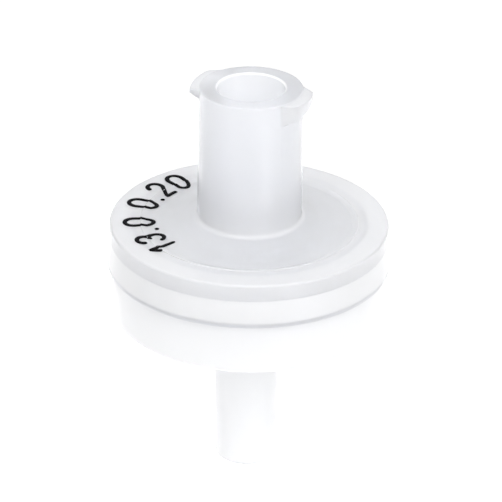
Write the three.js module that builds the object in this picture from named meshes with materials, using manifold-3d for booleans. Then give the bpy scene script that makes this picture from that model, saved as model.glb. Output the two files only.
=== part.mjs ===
// A 13 mm syringe filter: an inlet housing with a female Luer lock socket, a filter membrane, and
// an outlet housing with a male Luer slip tip. Millimetres, +Z up along the flow axis.
// The origin is the centre of the inlet's rim, where the syringe pushes on, so the filter hangs
// below it: inlet on top, outlet tip at the bottom.

import * as THREE from 'three';
import { mergeVertices } from 'three/addons/utils/BufferGeometryUtils.js';
import Module from 'manifold-3d';

const wasm = await Module();
wasm.setup();

// ---------------------------------------------------------------------------------------------
// Driving sizes, radial ones first
// ---------------------------------------------------------------------------------------------

const membraneDiameter = 13;
const membraneThickness = 0.15;
const membraneClearance = 0.3;       // from the membrane's edge to the weld ring around it
const clampWidth = 0.75;             // how much of the membrane's edge is pinched
const weldRingWidth = 0.5;
const weldRingMargin = 0.15;         // from the weld ring to the spigot's side
const flashTrapHeight = 0.4;         // the groove beside the weld ring takes up squeezed-out melt
const spigotClearance = 0.05;        // radial, between the outlet's spigot and the inlet's socket
const skirtWall = 1.47;
const skirtFlare = 0.15;             // how much further out the skirt is at the seam
const bandWidth = 1.93;              // the flat band at the plate's edge, which carries the print
const outletStepIn = 0.24;           // the outlet disc stands in from the skirt's widest edge
const outletWallDraft = 0.08;        // and narrows by this much down to its base
const outletSkirtWall = 1.25;

// Female Luer socket and its lock lugs
const hubHeight = 9.4;
const hubTopDiameter = 6.6;
const hubDraft = 0.05;               // radial growth from the rim to the hub's foot
const luerTaper = 0.06;              // on the diameter, per unit of length
const luerMouthDiameter = 4.3;
const luerFloorThickness = 1.25;     // between the socket's floor and the chamber
const mouthChamfer = 0.16;
const inletPortDiameter = 2.5;
const lugDiameter = 7.8;
const lugStart = -56;                // degrees about +Z, where the first lug rises from the hub
const lugRamp = 19;                  // degrees until it stands at its full radius
const lugEnd = 7;                    // its steep end, at the hub
const lugSlant = 8;                  // degrees by which the crest ends earlier
const lugTopDrop = 0.2;              // at the steep end, from the rim down to the crest
const lugCrestLow = 0.48;            // at the steep end, from the rim down to the crest's underside
const lugRootDrop = 0.22;            // how much lower the lug reaches at the hub
const lugLead = 5;                   // fall of the underside in a whole turn
const lugSections = 14;
const lugCount = 2;

// Heights of the disc
const plateThickness = 1.5;          // from the printed band down to the membrane
const stepDepth = 0.06;              // a fine step inside the band
const stepRun = 0.12;
const coneRadius = 5.1;              // where the plate starts to rise towards the hub
const coneRise = 0.51;
const coneRounding = 8;
const lipHeight = 1.07;
const lipStep = 0.05;
const skirtHeight = 2.92;            // from the printed band down to the seam
const chamberDepth = 0.5;            // free height over the membrane at the chamber's edge
const chamberRise = 0.85;
const outletDiscDepth = 3.4;         // from the seam down to the outlet disc's base
const outletPlateThickness = 2;      // from the membrane down to the recess underneath

// Distribution ribs over the membrane and the drain grid under it
const ribCount = 8;
const ribWidth = 0.4;
const ribInnerRadius = 1.9;
const ribEndGap = 0.5;               // between a rib's outer end and the chamber's wall
const ribDepth = 0.3;                // how far the ribs stand down from the chamber's roof
const gridDepth = 0.45;
const gridEdgeGap = 0.1;
const gridRingFirst = 1.95;
const gridRingPitch = 0.9;
const gridRingWidth = 0.42;
const gridRingDraft = 0.06;
const gutterCount = 8;
const gutterWidth = 0.6;
const gutterExtraDepth = 0.12;
const drainFunnelRadius = 1.6;
const drainFunnelDepth = 0.5;

// Male Luer slip tip
const outletLength = 10.8;           // from the outlet disc's base to the tip's end
const tipDiameter = 4;
const tipBoreDiameter = 2.2;
const tipBoreGrowth = 0.08;          // radial growth from the tip's end to the drain
const collarDiameter = 6.2;

// Moulded edges
const softEdge = 0.15;
const fineEdge = 0.08;
const footFillet = 0.5;
const rootFillet = 0.35;
const embed = 0.2;                   // how far a rib or ring reaches into what carries it

const lathedSides = 64;
const roundSteps = 2;

// ---------------------------------------------------------------------------------------------
// Sizes that follow
// ---------------------------------------------------------------------------------------------

const membraneRadius = membraneDiameter / 2;
const filtrationRadius = membraneRadius - clampWidth;
const weldInnerRadius = membraneRadius + membraneClearance;
const weldOuterRadius = weldInnerRadius + weldRingWidth;
const spigotRadius = weldOuterRadius + weldRingMargin;
const socketRadius = spigotRadius + spigotClearance;
const lipRadius = socketRadius + skirtWall;
const seamRadius = lipRadius + skirtFlare;
const outletTopRadius = seamRadius - outletStepIn;
const outletBaseRadius = outletTopRadius - outletWallDraft;
const stepRadius = lipRadius - bandWidth;

const hubTopRadius = hubTopDiameter / 2;
const hubFootRadius = hubTopRadius + hubDraft;
const luerMouthRadius = luerMouthDiameter / 2;
const inletPortRadius = inletPortDiameter / 2;
const lugRadius = lugDiameter / 2;

const bandZ = -hubHeight;
const plateZ = bandZ - stepDepth;
const hubFootZ = plateZ + coneRise;
const lipZ = bandZ - lipHeight;
const clampZ = bandZ - plateThickness;
const landZ = clampZ - membraneThickness;
const flashTrapZ = clampZ + flashTrapHeight;
const seamZ = bandZ - skirtHeight;
const roofEdgeZ = clampZ + chamberDepth;
const baseZ = seamZ - outletDiscDepth;
const undersideZ = landZ - outletPlateThickness;
const gridFloorZ = landZ - gridDepth;
const funnelZ = gridFloorZ - drainFunnelDepth;
const gridRadius = filtrationRadius - gridEdgeGap;
const tipZ = baseZ - outletLength;

const tipRadius = tipDiameter / 2;
const tipBoreRadius = tipBoreDiameter / 2;
const drainRadius = tipBoreRadius + tipBoreGrowth;
const tubeRadiusAt = (z) => tipRadius + (z - tipZ) * luerTaper / 2;
const collarRadius = collarDiameter / 2;
const outletSkirtInnerRadius = outletTopRadius - outletSkirtWall;

// The chamber's roof is a shallow cone that rises towards the inlet port
function roofAt(radius) {
  const share = (filtrationRadius - radius) / (filtrationRadius - inletPortRadius);
  return roofEdgeZ + chamberRise * share;
}

const luerDepth = -roofAt(inletPortRadius) - luerFloorThickness;
const luerEndRadius = luerMouthRadius - luerDepth * luerTaper / 2;

// ---------------------------------------------------------------------------------------------
// Outlines and solids
// ---------------------------------------------------------------------------------------------

// Replaces one corner by an arc tangent to both of its sides, no longer than either side allows
function roundCorner(before, corner, after, radius) {
  const toBefore = before.clone().sub(corner);
  const toAfter = after.clone().sub(corner);
  const room = Math.min(toBefore.length(), toAfter.length()) * 0.49;
  toBefore.normalize();
  toAfter.normalize();
  const halfAngle = Math.acos(THREE.MathUtils.clamp(toBefore.dot(toAfter), -1, 1)) / 2;
  const cut = Math.min(radius / Math.tan(halfAngle), room);
  const start = corner.clone().addScaledVector(toBefore, cut);
  const end = corner.clone().addScaledVector(toAfter, cut);
  const centreDistance = cut / Math.cos(halfAngle);
  const centre = toBefore.clone().add(toAfter).normalize().multiplyScalar(centreDistance).add(corner);
  const arcRadius = centre.distanceTo(start);
  const points = [];
  for (let i = 0; i <= roundSteps; i++) {
    const onChord = start.clone().lerp(end, i / roundSteps).sub(centre);
    points.push(onChord.setLength(arcRadius).add(centre));
  }
  return points;
}

// A closed outline from [radius, z] corners, each with an optional rounding as its third number
function closedOutline(corners) {
  const points = corners.map(([radius, z]) => new THREE.Vector2(radius, z));
  const count = points.length;
  const outline = corners.flatMap(([, , rounding], i) => {
    if (!rounding) return [points[i]];
    return roundCorner(points[(i + count - 1) % count], points[i], points[(i + 1) % count], rounding);
  });
  return [...outline, outline[0].clone()];
}

function solidFrom(geometry) {
  geometry.deleteAttribute('normal');
  geometry.deleteAttribute('uv');
  const merged = mergeVertices(geometry);
  return new wasm.Manifold(new wasm.Mesh({
    numProp: 3,
    vertProperties: new Float32Array(merged.attributes.position.array),
    triVerts: new Uint32Array(merged.index.array),
  }));
}

function geometryFrom(solid) {
  const mesh = solid.getMesh();
  const geometry = new THREE.BufferGeometry();
  geometry.setAttribute('position', new THREE.BufferAttribute(mesh.vertProperties, 3));
  geometry.setIndex(new THREE.BufferAttribute(mesh.triVerts, 1));
  const flat = geometry.toNonIndexed();
  flat.computeVertexNormals();
  return flat;
}

// Turns an outline, given anticlockwise with z upwards, about the flow axis
function turned(corners) {
  const geometry = new THREE.LatheGeometry(closedOutline(corners), lathedSides);
  geometry.rotateX(Math.PI / 2);
  return solidFrom(geometry);
}

// Straight bars that point away from the axis, evenly spaced
function spokes(count, width, innerRadius, outerRadius, lowZ, highZ) {
  const bars = [];
  for (let i = 0; i < count; i++) {
    const bar = new THREE.BoxGeometry(outerRadius - innerRadius, width, highZ - lowZ);
    bar.translate((innerRadius + outerRadius) / 2, 0, (lowZ + highZ) / 2);
    bar.rotateZ(i * 2 * Math.PI / count);
    bars.push(solidFrom(bar));
  }
  return bars.reduce((joined, bar) => joined.add(bar));
}

// A solid through a row of sections, each anticlockwise as seen from before the row's start
function lofted(sections) {
  const size = sections[0].length;
  const last = (sections.length - 1) * size;
  const index = [];
  for (let start = 0; start < last; start += size) {
    for (let i = 0; i < size; i++) {
      const j = (i + 1) % size;
      index.push(start + i, start + size + i, start + j);
      index.push(start + j, start + size + i, start + size + j);
    }
  }
  for (let i = 1; i < size - 1; i++) {
    index.push(0, i, i + 1);
    index.push(last, last + i + 1, last + i);
  }
  const geometry = new THREE.BufferGeometry().setFromPoints(sections.flat());
  geometry.setIndex(index);
  return solidFrom(geometry);
}

// ---------------------------------------------------------------------------------------------
// Inlet housing
// ---------------------------------------------------------------------------------------------

function inletShell() {
  return turned([
    [socketRadius, seamZ],
    [seamRadius, seamZ, fineEdge],
    [seamRadius, seamZ + softEdge * 2, softEdge],
    [lipRadius - lipStep, lipZ],
    [lipRadius, lipZ, fineEdge],
    [lipRadius, bandZ, softEdge],
    [stepRadius, bandZ, fineEdge],
    [stepRadius - stepRun, plateZ, fineEdge],
    [coneRadius, plateZ, coneRounding],
    [hubFootRadius, hubFootZ, footFillet],
    [hubTopRadius, 0, fineEdge],
    [luerMouthRadius + mouthChamfer, 0],
    [luerMouthRadius, -mouthChamfer],
    [luerEndRadius, -luerDepth, fineEdge],
    [inletPortRadius, -luerDepth, fineEdge],
    [inletPortRadius, roofAt(inletPortRadius), softEdge],
    [filtrationRadius, roofEdgeZ, softEdge],
    [filtrationRadius, clampZ],
    [weldInnerRadius, clampZ],
    [weldInnerRadius, landZ],
    [weldOuterRadius, landZ],
    [weldOuterRadius, flashTrapZ],
    [socketRadius, flashTrapZ],
  ]);
}

// Low ribs under the chamber's roof that spread the liquid
function distributionRibs() {
  const outerRadius = filtrationRadius - ribEndGap;
  const envelope = turned([
    [ribInnerRadius, roofAt(ribInnerRadius) - ribDepth],
    [outerRadius, roofAt(outerRadius) - ribDepth],
    [outerRadius, roofAt(outerRadius) + embed],
    [ribInnerRadius, roofAt(ribInnerRadius) + embed],
  ]);
  return envelope.intersect(spokes(ribCount, ribWidth, 0.1, filtrationRadius, clampZ, bandZ));
}

// Section of a lock lug a share of the way along it, seen from outside its start
function lugSection(share) {
  const heading = lugStart + (lugEnd - lugStart) * share;
  const ramp = Math.min(1, (heading - lugStart) / lugRamp);
  const reach = Math.max(0.02, Math.sin(ramp * Math.PI / 2));
  const crestRadius = hubTopRadius + (lugRadius - hubTopRadius) * reach;
  const insideRadius = hubTopRadius - 2 * embed;
  const crestLowZ = -lugCrestLow - lugLead * (lugEnd - heading) / 360;
  const crestTopZ = -fineEdge / 2 - lugTopDrop * share;
  const slant = lugSlant * share;
  const place = (radius, back, z) => {
    const turn = THREE.MathUtils.degToRad(heading - back);
    return new THREE.Vector3(radius * Math.cos(turn), radius * Math.sin(turn), z);
  };
  return [
    place(insideRadius, 0, crestLowZ - lugRootDrop),
    place(hubTopRadius, 0, crestLowZ - lugRootDrop),
    place(crestRadius, slant, crestLowZ),
    place(crestRadius, slant, crestTopZ),
    place(hubTopRadius, 0, -fineEdge / 2),
    place(insideRadius, 0, -fineEdge / 2),
  ];
}

// A lock lug rises gently out of the hub, follows its thread and ends steeply
function lockLug(turn) {
  const sections = [];
  for (let i = 0; i <= lugSections; i++) {
    sections.push(lugSection(i / lugSections));
  }
  return lofted(sections).rotate([0, 0, turn]);
}

function inletHousing() {
  let housing = inletShell().add(distributionRibs());
  for (let i = 0; i < lugCount; i++) {
    housing = housing.add(lockLug(i * 360 / lugCount));
  }
  return geometryFrom(housing);
}

// ---------------------------------------------------------------------------------------------
// Membrane
// ---------------------------------------------------------------------------------------------

function filterMembrane() {
  const disc = new THREE.CylinderGeometry(membraneRadius, membraneRadius, membraneThickness, lathedSides);
  return disc.rotateX(Math.PI / 2);
}

// ---------------------------------------------------------------------------------------------
// Outlet housing
// ---------------------------------------------------------------------------------------------

function outletShell() {
  return turned([
    [tipBoreRadius, tipZ, fineEdge],
    [tipRadius, tipZ, softEdge],
    [tubeRadiusAt(baseZ), baseZ, rootFillet],
    [collarRadius, baseZ, softEdge],
    [collarRadius, undersideZ, rootFillet],
    [outletSkirtInnerRadius, undersideZ, rootFillet],
    [outletSkirtInnerRadius, baseZ, fineEdge],
    [outletBaseRadius, baseZ, softEdge * 2],
    [outletTopRadius, seamZ],
    [spigotRadius, seamZ],
    [spigotRadius, landZ],
    [gridRadius, landZ],
    [gridRadius, gridFloorZ],
    [drainFunnelRadius, gridFloorZ],
    [drainRadius, funnelZ, fineEdge],
  ]);
}

// Concentric rings that hold the membrane up, cut through by gutters that lead to the drain
function gridRings() {
  const rings = [];
  for (let radius = gridRingFirst; radius + gridRingWidth < gridRadius; radius += gridRingPitch) {
    rings.push(turned([
      [radius - gridRingDraft, gridFloorZ - embed],
      [radius + gridRingWidth + gridRingDraft, gridFloorZ - embed],
      [radius + gridRingWidth, landZ],
      [radius, landZ],
    ]));
  }
  return rings;
}

function gutters() {
  const outerRadius = gridRadius - gridEdgeGap;
  const lowZ = gridFloorZ - gutterExtraDepth;
  return spokes(gutterCount, gutterWidth, tipBoreRadius / 2, outerRadius, lowZ, landZ + embed);
}

function outletHousing() {
  const plate = gridRings().reduce((joined, ring) => joined.add(ring), outletShell());
  return geometryFrom(plate.subtract(gutters()));
}

// ---------------------------------------------------------------------------------------------
// The filter
// ---------------------------------------------------------------------------------------------

const naturalPolypropylene = new THREE.MeshStandardMaterial({ color: 0xe9eaf0, roughness: 0.35 });
const polyethersulfone = new THREE.MeshStandardMaterial({ color: 0xf6f6f4, roughness: 0.8 });

function piece(name, geometry, material, z = 0) {
  const mesh = new THREE.Mesh(geometry, material);
  mesh.name = name;
  mesh.position.z = z;
  return mesh;
}

const syringeFilter = new THREE.Group();
syringeFilter.add(
  piece('inlet_housing', inletHousing(), naturalPolypropylene),
  piece('filter_membrane', filterMembrane(), polyethersulfone, (clampZ + landZ) / 2),
  piece('outlet_housing', outletHousing(), naturalPolypropylene),
);

export default syringeFilter;
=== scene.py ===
"""A disc filter for a syringe: two moulded housings welded round a membrane, on a pale studio floor."""

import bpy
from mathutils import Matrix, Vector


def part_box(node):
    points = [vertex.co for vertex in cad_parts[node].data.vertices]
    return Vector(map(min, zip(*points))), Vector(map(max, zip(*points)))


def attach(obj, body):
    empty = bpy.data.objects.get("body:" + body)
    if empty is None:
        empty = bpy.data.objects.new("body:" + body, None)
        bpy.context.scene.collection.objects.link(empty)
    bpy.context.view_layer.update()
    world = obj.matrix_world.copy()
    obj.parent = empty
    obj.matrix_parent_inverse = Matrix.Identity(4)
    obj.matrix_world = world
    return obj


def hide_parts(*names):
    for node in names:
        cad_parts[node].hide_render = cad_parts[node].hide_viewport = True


bl_info = {
    "name": "Syringe Disc Filter",
    "version": (1, 0, 0),
    "blender": (4, 5, 0),
    "location": "3D View > Sidebar > Filter",
    "description": "Builds the finished housings, membrane and print of a syringe disc filter",
    "category": "Object",
}

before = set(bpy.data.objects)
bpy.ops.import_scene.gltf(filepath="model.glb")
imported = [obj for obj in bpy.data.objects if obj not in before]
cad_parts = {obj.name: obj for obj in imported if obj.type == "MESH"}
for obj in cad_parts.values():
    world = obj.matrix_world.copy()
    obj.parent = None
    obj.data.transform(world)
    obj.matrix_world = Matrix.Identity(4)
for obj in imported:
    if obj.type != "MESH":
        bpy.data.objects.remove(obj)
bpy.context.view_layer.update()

import math

import bmesh
import bpy
from bpy.props import FloatProperty, FloatVectorProperty, IntProperty, PointerProperty, StringProperty
from mathutils import Matrix, Quaternion, Vector

MM = 0.001
INLET_LOW, INLET_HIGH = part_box("inlet_housing")
OUTLET_LOW, OUTLET_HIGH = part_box("outlet_housing")
MEMBRANE_LOW, MEMBRANE_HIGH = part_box("filter_membrane")

RIM_Z = INLET_HIGH.z                 # the inlet's rim
SEAM_Z = INLET_LOW.z                 # where the two housings meet on the outside
SEAM_RADIUS = INLET_HIGH.x
OUTLET_TOP_RADIUS = OUTLET_HIGH.x
TIP_Z = OUTLET_LOW.z                 # the outlet tip's end
CLAMP_Z = MEMBRANE_HIGH.z            # the membrane's upper face, pinched by the inlet housing
LAND_Z = MEMBRANE_LOW.z              # its lower face, on the outlet housing
MEMBRANE_RADIUS = MEMBRANE_HIGH.x

MERGE_DISTANCE = 0.0005 * MM         # points closer than this become one
SHARP_ANGLE = math.radians(32)       # edges that turn more than this are drawn sharp
ARC_STEP = math.radians(11)          # how far each piece of a rounded corner turns
SIDE_SHARE = 0.49                    # how much of a side a rounded corner at one end may take up
ARC_SHARE = 0.9                      # how much of that its arc may take up
SUPPORT_SHARE = 0.15                 # from an arc's end to the point that supports it, by the arc's size


# -------------------- Sizes, colours and light --------------------

def length(name, description, default):
    return FloatProperty(name=name, description=description, default=default, unit="LENGTH",
                         precision=5)


def angle(name, description, degrees):
    return FloatProperty(name=name, description=description, default=math.radians(degrees),
                         unit="ROTATION")


def factor(name, description, default):
    return FloatProperty(name=name, description=description, default=default, min=0, soft_max=1)


def count(name, description, default):
    return IntProperty(name=name, description=description, default=default, min=1)


def colour(name, description, default):
    return FloatVectorProperty(name=name, description=description, default=default, size=3,
                               subtype="COLOR", min=0, max=1)


class MouldingSizes(bpy.types.PropertyGroup):
    """What both housings share"""

    sides: IntProperty(name="Sides", description="Sides of every turned form", default=256, min=64)
    soft_edge: length("Soft Edge", "Radius of the outer edges", 0.15 * MM)
    fine_edge: length("Fine Edge", "Radius of the smallest edges", 0.08 * MM)
    embed: length("Embed", "How far a rib reaches into what carries it", 0.2 * MM)
    clamp_width: length("Clamp Width", "How much of the membrane's edge is pinched", 0.75 * MM)
    membrane_clearance: length("Membrane Clearance", "From the membrane to the weld ring", 0.3 * MM)
    weld_ring_width: length("Weld Ring Width", "Width of the ring that melts into the other housing",
                            0.5 * MM)
    weld_ring_margin: length("Weld Ring Margin", "From the weld ring to the spigot's side", 0.15 * MM)
    flash_trap: length("Flash Trap", "Height of the groove that takes up what the weld squeezes out",
                       0.4 * MM)
    spigot_clearance: length("Spigot Clearance", "Radial gap between spigot and socket", 0.05 * MM)
    seat_gap: length("Seat Gap", "Film of air between pieces that lie on each other", 0.01 * MM)
    luer_taper: factor("Luer Taper", "Change of diameter for each unit of length", 0.06)


class InletSizes(bpy.types.PropertyGroup):
    """The upper housing, from its rim down to the seam"""

    hub_height: length("Hub Height", "From the rim down to the printed band", 9.4 * MM)
    hub_top_radius: length("Hub Top Radius", "Outer radius at the rim", 3.3 * MM)
    hub_draft: length("Hub Draft", "Radial growth from the rim to the hub's foot", 0.05 * MM)
    foot_fillet: length("Foot Fillet", "Radius between the hub and the plate", 0.35 * MM)
    mouth_radius: length("Mouth Radius", "Radius of the Luer socket at the rim", 2.15 * MM)
    mouth_chamfer: length("Mouth Chamfer", "Chamfer round the socket's mouth", 0.1 * MM)
    socket_depth: length("Socket Depth", "Depth of the Luer socket", 8.3 * MM)
    port_radius: length("Port Radius", "Radius of the hole into the chamber", 1.25 * MM)
    plate_thickness: length("Plate Thickness", "From the printed band to the membrane", 1.5 * MM)
    band_width: length("Band Width", "Width of the flat band at the plate's edge", 1.93 * MM)
    step_depth: length("Step Depth", "Depth of the fine step inside the band", 0.06 * MM)
    step_run: length("Step Run", "Width of that step's gentle slope", 0.45 * MM)
    bead_height: length("Bead Height", "Height of the fine bead along that step", 0.045 * MM)
    bead_slope: length("Bead Slope", "Width of that bead's steep outer side", 0.05 * MM)
    cone_radius: length("Cone Radius", "Where the plate starts to rise towards the hub", 5.1 * MM)
    cone_rise: length("Cone Rise", "Rise of the plate towards the hub", 0.51 * MM)
    cone_rounding: length("Cone Rounding", "Radius where that rise starts", 8 * MM)
    lip_radius: length("Lip Radius", "Outer radius of the printed band", 8.97 * MM)
    lip_height: length("Lip Height", "Height of the upright lip below the band", 1.07 * MM)
    lip_step: length("Lip Step", "How far the skirt starts inside the lip", 0.05 * MM)
    chamber_depth: length("Chamber Depth", "Free height over the membrane at the edge", 0.5 * MM)
    chamber_rise: length("Chamber Rise", "Rise of the chamber's roof to the port", 0.85 * MM)
    rib_count: count("Ribs", "Ribs under the chamber's roof", 8)
    rib_width: length("Rib Width", "Width of each rib", 0.4 * MM)
    rib_inner_radius: length("Rib Inner Radius", "Where the ribs start", 1.9 * MM)
    rib_end_gap: length("Rib End Gap", "From a rib's end to the chamber's wall", 0.5 * MM)
    rib_depth: length("Rib Depth", "How far the ribs stand down from the roof", 0.3 * MM)
    lug_count: count("Lugs", "Lock lugs round the rim", 2)
    lug_radius: length("Lug Radius", "Radius over the lugs", 3.9 * MM)
    lug_start: angle("Lug Start", "Direction where the first lug rises from the hub", -56)
    lug_ramp: angle("Lug Ramp", "How far round it takes to reach its full radius", 19)
    lug_end: angle("Lug End", "Direction of the lug's steep end at the hub", 7)
    lug_slant: angle("Lug Slant", "How much earlier the crest ends", 8)
    lug_top_drop: length("Lug Top Drop", "From the rim down to the crest at the steep end", 0.2 * MM)
    lug_crest_low: length("Lug Crest Low", "From the rim down to the crest's lower edge there",
                          0.48 * MM)
    lug_root_drop: length("Lug Root Drop", "How much lower the lug reaches at the hub", 0.22 * MM)
    lug_lead: length("Lug Lead", "Fall of the lug's underside in a whole turn", 5 * MM)
    lug_edge: length("Lug Edge", "Radius of the lug's edges", 0.06 * MM)
    lug_steps: count("Lug Steps", "Pieces that each lug is made of along its way", 48)


class OutletSizes(bpy.types.PropertyGroup):
    """The lower housing, from the spigot down to the tip"""

    disc_depth: length("Disc Depth", "From the seam down to the disc's base", 3.4 * MM)
    wall_draft: length("Wall Draft", "Narrowing of the disc down to its base", 0.08 * MM)
    skirt_wall: length("Skirt Wall", "Wall round the recess underneath", 1.25 * MM)
    plate_thickness: length("Plate Thickness", "From the membrane down to the recess", 2 * MM)
    root_fillet: length("Root Fillet", "Radius where the collar and tube stand", 0.35 * MM)
    collar_radius: length("Collar Radius", "Collar round the tube's root", 3.1 * MM)
    tip_radius: length("Tip Radius", "Outer radius at the tip's end", 2 * MM)
    tip_bore_radius: length("Tip Bore Radius", "Radius of the bore at the tip's end", 1.1 * MM)
    tip_bore_growth: length("Tip Bore Growth", "Radial growth of the bore up to the drain", 0.08 * MM)
    grid_depth: length("Grid Depth", "Depth of the support grid", 0.45 * MM)
    grid_edge_gap: length("Grid Edge Gap", "From the grid to the clamped land", 0.1 * MM)
    ring_first: length("First Ring", "Inner radius of the grid's first ring", 1.95 * MM)
    ring_pitch: length("Ring Pitch", "Distance from ring to ring", 0.9 * MM)
    ring_width: length("Ring Width", "Width of a ring at its top", 0.42 * MM)
    ring_draft: length("Ring Draft", "Growth of each side down to the root", 0.06 * MM)
    gutter_count: count("Gutters", "Gutters that lead to the drain", 8)
    gutter_width: length("Gutter Width", "Width of each gutter", 0.6 * MM)
    gutter_extra_depth: length("Gutter Extra Depth", "Below the grid's floor", 0.12 * MM)
    funnel_radius: length("Funnel Radius", "Radius of the drain's funnel", 1.6 * MM)
    funnel_depth: length("Funnel Depth", "Depth of the drain's funnel", 0.5 * MM)


class PrintSettings(bpy.types.PropertyGroup):
    """Plain numerals printed on the band"""

    numerals: StringProperty(name="Numerals", description="Digits, points and spaces",
                             default="13.0 0.20")
    radius: length("Radius", "Radius of the middle of the line of print", 6.33 * MM)
    offset_x: length("Offset X", "How far the print's own centre lies from the flow axis", -0.8 * MM)
    offset_y: length("Offset Y", "The same, across", 0.5 * MM)
    height: length("Height", "Height of a numeral", 2.15 * MM)
    width: length("Width", "Width of a numeral", 1.25 * MM)
    spacing: length("Spacing", "From one numeral to the next", 0.4 * MM)
    word_space: factor("Word Space", "Width of a space, as a share of a numeral's", 0.8)
    stroke: length("Stroke", "Width of the strokes", 0.29 * MM)
    point: length("Point", "Length of a decimal point", 0.33 * MM)
    middle: angle("Middle", "Direction of the middle of the line", 175)
    ink: length("Ink", "How far the ink stands out of the surface, which is as far as it reaches in",
                0.02 * MM)
    end_sides: count("End Sides", "Sides of a stroke's round end", 20)


class PlasticLook(bpy.types.PropertyGroup):
    """Natural polypropylene, and the membrane and ink beside it"""

    colour: colour("Plastic", "Colour of the plastic", (0.9, 0.912, 0.957))
    roughness: factor("Roughness", "Roughness of the moulded surface", 0.45)
    scatter: factor("Scatter", "Share of light scattered below the surface", 0.95)
    scatter_depth: length("Scatter Depth", "How far the light wanders in the plastic", 2 * MM)
    clarity: factor("Clarity", "Share of light that passes through", 0.5)
    skin: factor("Skin", "Weight of the glossy skin left by the mould", 0.6)
    skin_roughness: factor("Skin Roughness", "Roughness of that skin", 0.06)
    grain_size: length("Grain Size", "Size of the fine unevenness", 1.1 * MM)
    grain_height: length("Grain Height", "Height of the fine unevenness", 0.003 * MM)
    roughness_spread: factor("Roughness Spread", "How much the roughness varies", 0.05)
    mottle_size: length("Mottle Size", "Size of the patches on membrane and ink", 0.3 * MM)
    # Painted light: apart from the rim's clarity, the settings from here to the end of this list make
    # chosen zones of the plastic whiter and cloudier, so that they look brighter.
    painted_light_colour: colour("Frosted Plastic", "Colour of the frosted skirt and bore", (0.98, 0.985, 1.0))
    painted_light_roughness: factor("Frost Roughness", "Roughness of the frosted skirt and bore", 0.5)
    painted_light_scatter: factor("Frost Scatter", "Share of light scattered deep under the frosting", 0.35)
    painted_light_clarity: factor("Frost Clarity", "Share of light that passes through the frosting", 0.15)
    rim_clarity: factor("Rim Clarity", "Share of light that passes through the thin rim", 0.68)
    painted_light_edge: length("Frost Edge", "Width over which the frosting starts", 0.1 * MM)
    painted_light_margin: length("Frost Margin", "Height of the plain edge between the frosting and the seam",
                         0.3 * MM)
    # Painted light: how strongly each zone below is made whiter and cloudier to look brighter.
    bore_painted_light: factor("Bore Share", "How milky the Luer bore looks", 1.0)
    foot_painted_light: factor("Foot Share", "How milky the thick foot of the hub looks", 0.9)
    foot_painted_light_height: length("Foot Size", "How far up the hub that reaches", 4 * MM)
    plate_painted_light: factor("Plate Share", "How milky the plate looks round the hub", 0.12)
    weld_painted_light: factor("Weld Share", "How milky the plate looks over the weld ring", 0.3)
    wall_painted_light: factor("Wall Share", "How milky it looks over the skirt's solid wall", 0.5)
    lip_painted_light: factor("Lip Share", "How milky the lip's upright side looks", 0.25)
    outlet_painted_light: factor("Outlet Share", "How milky the lower housing looks", 0.95)
    lug_painted_light: factor("Lug Share", "How milky the lock lugs look", 0.2)
    index: FloatProperty(name="Index", description="Index of refraction", default=1.49)
    membrane_colour: colour("Membrane", "Colour of the membrane", (0.93, 0.93, 0.92))
    membrane_shade: factor("Membrane Shade", "How much of its brightness its darker patches keep", 0.96)
    membrane_roughness: factor("Membrane Roughness", "Roughness of the membrane", 0.85)
    ink_colour: colour("Ink", "Colour of the print", (0.003, 0.003, 0.004))
    ink_gloss: factor("Ink Gloss", "Strength of the print's gloss", 0.06)
    ink_roughness: factor("Ink Roughness", "Roughness of the print where it is least", 0.55)
    ink_roughness_most: factor("Most Ink Roughness", "Roughness of the print where it is most", 0.8)


class StudioSettings(bpy.types.PropertyGroup):
    """Camera, lamps and floor"""

    lens: FloatProperty(name="Lens", description="Focal length of the camera", default=226.48,
                        unit="CAMERA")
    sensor: FloatProperty(name="Sensor", description="Width of the camera's sensor", default=36,
                          unit="CAMERA")
    distance: length("Camera Distance", "From the camera to what it looks at", 203.9 * MM)
    elevation: angle("Camera Elevation", "How far above the horizon the camera stands", 27.49)
    roll: angle("Camera Roll", "Turn of the camera about its own line of sight", 0.94)
    aim_depth: length("Aim Depth", "Depth below the rim of the point it looks at", 11.61 * MM)
    aim_side: length("Aim Side", "How far beside the axis that point lies", 0.142 * MM)
    floor_drop: length("Floor Drop", "How far the tip is held above the floor", 25 * MM)
    floor_size: length("Floor Size", "Length of the floor's sides", 3000 * MM)
    floor_shade: factor("Floor Shade", "How much light the floor gives back", 0.9)
    floor_roughness: factor("Floor Roughness", "Roughness of the floor", 0.9)
    floor_glow: factor("Floor Glow", "How much whiter the floor looks near the filter than it lights",
                       0.45)
    far_glow: factor("Far Glow", "The same far away, where the lamps don't reach", 0.86)
    floor_near: length("Floor Near", "Distance where the floor starts to change between the two",
                       80 * MM)
    floor_far: length("Floor Far", "Distance where that change ends", 500 * MM)
    seen: factor("Seen", "Brightness of the surroundings where they are seen", 1.0)
    surround: factor("Surround", "Light that comes from all round", 0.24)
    light_distance: length("Light Distance", "From the filter to the lamps", 160 * MM)
    back_light: factor("Back Light", "Brightness of the large lamp behind", 0.15)
    front_light: factor("Front Light", "Brightness of the wide low lamp in front", 0.1)
    high_light: factor("High Light", "Brightness of the wide lamp above the camera", 0.68)
    left_light: factor("Left Light", "Brightness of the lamp on the left", 0.13)
    right_light: factor("Right Light", "Brightness of the high lamp on the right", 0.7)
    top_light: factor("Top Light", "Brightness of the soft lamp overhead", 2.7)
    strip_light: factor("Strip Light", "Brightness of the two tall lamps that make glints", 5.5)
    low_light: factor("Low Light", "Brightness of the small lamp that draws a streak down the hub", 1.8)
    low_distance: length("Low Distance", "From the filter's middle to that lamp", 70 * MM)
    under_light: factor("Under Light", "Brightness of the wide lamp below the tip", 0.54)
    under_distance: length("Under Distance", "From the filter's middle down to that lamp", 30 * MM)


# -------------------- Geometry Nodes --------------------

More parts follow.
